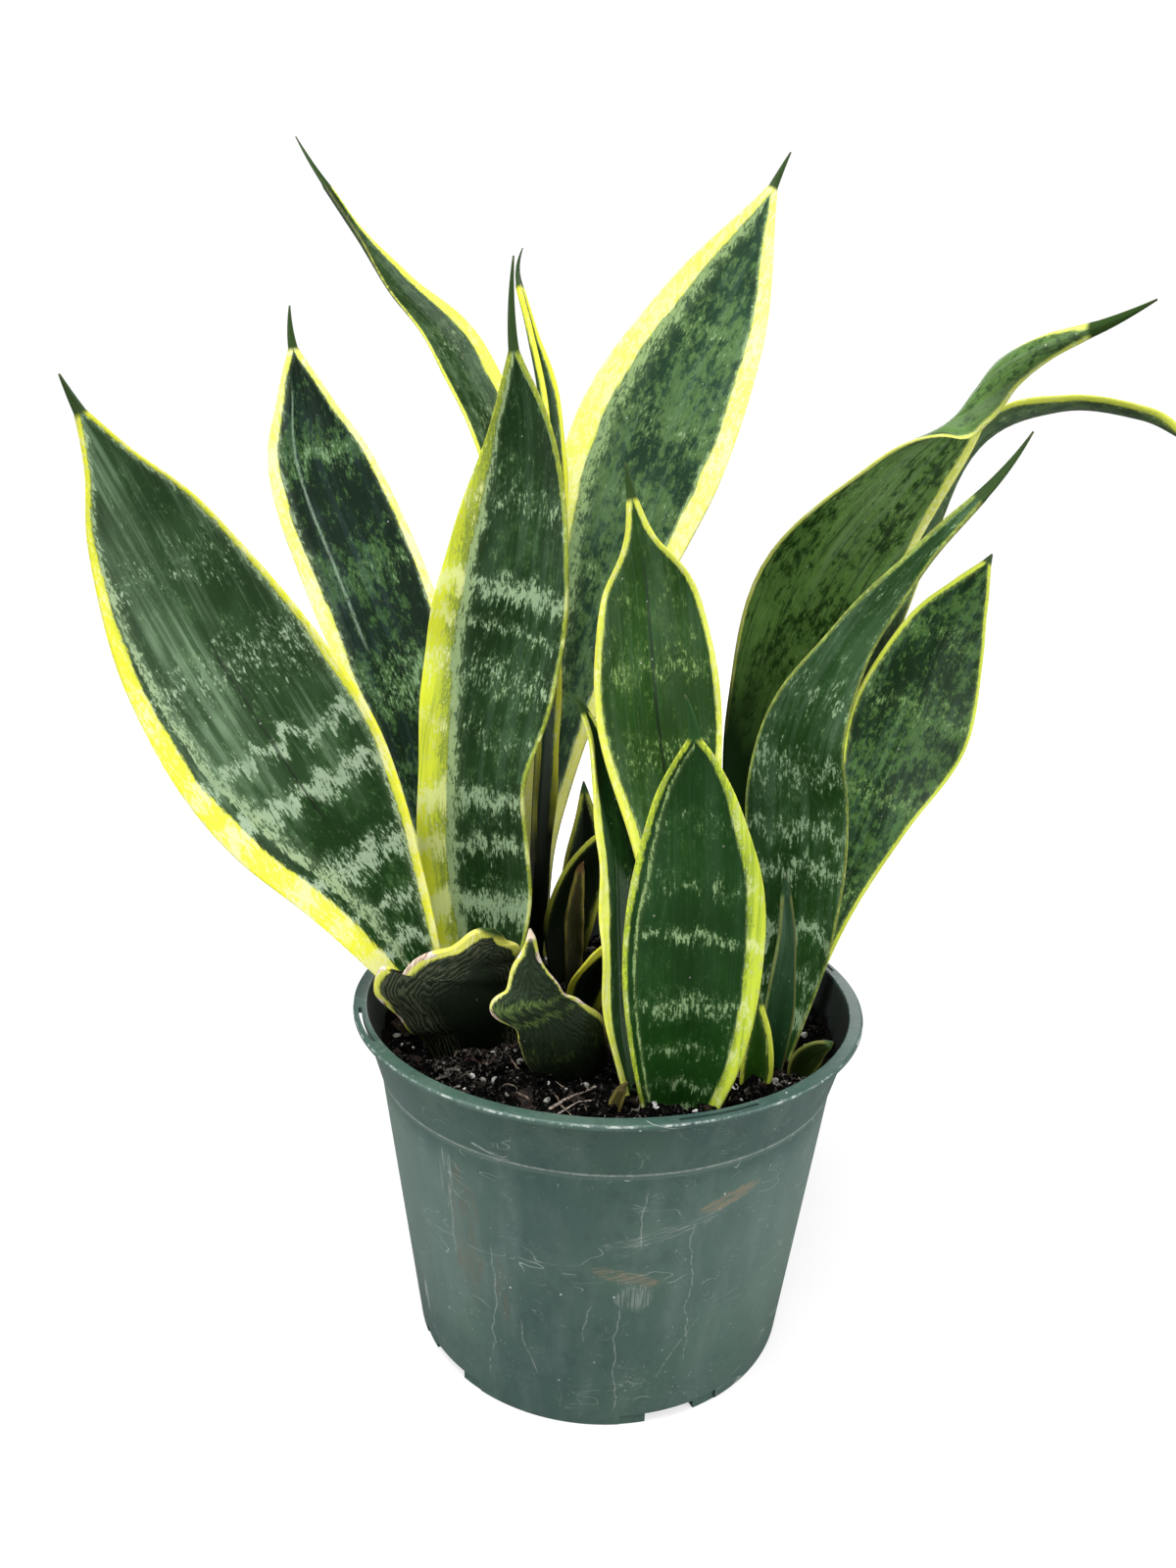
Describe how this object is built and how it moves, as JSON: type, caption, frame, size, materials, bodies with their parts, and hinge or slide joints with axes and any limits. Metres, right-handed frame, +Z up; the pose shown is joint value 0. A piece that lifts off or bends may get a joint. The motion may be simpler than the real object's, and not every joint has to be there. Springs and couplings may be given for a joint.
{
  "type": "potted snake plant",
  "caption": "Snake plant with cross-banded, yellow-edged upright leaves in a round tapered nursery pot filled with soil; stands on its flat floor.",
  "frame": {"origin": "on the surface that the pot stands on, under the middle of the pot's floor", "axes": "+Z up along the pot's axis; -Y towards the side that the plant shows best"},
  "size_m": [0.398, 0.2342, 0.4854],
  "materials": {
    "pot_plastic": "satin dark grey-green moulded plastic with fine pale scratches",
    "soil": "rough dark potting mix with bark and white perlite",
    "leaf": "waxy semi-gloss leaf, dark green with grey-green cross-bands and yellow margins",
    "dry_leaf": "dried brown and olive leaf, matt"
  },
  "bodies": {
    "root": {"pot": "pot_plastic", "soil": "soil", "leaf_far_left": "leaf", "leaf_back_left": "leaf", "leaf_arched_left": "leaf", "leaf_centre_left": "leaf", "leaf_edge_on": "leaf", "leaf_tall": "leaf", "leaf_middle": "leaf", "leaf_front": "leaf", "leaf_folded": "leaf", "leaf_big_right": "leaf", "leaf_arched_right": "leaf", "leaf_wavy_right": "leaf", "leaf_far_right": "leaf", "leaf_curled_rim": "leaf", "leaf_scarred_stub": "leaf", "leaf_inner_arch": "leaf", "leaf_inner_curl": "leaf", "leaf_inner_dark": "leaf", "leaf_dried": "dry_leaf", "leaf_dried_small": "dry_leaf", "leaf_young_spike": "leaf", "leaf_small_olive": "leaf", "leaf_low_olive": "leaf"}
  },
  "joints": []
}
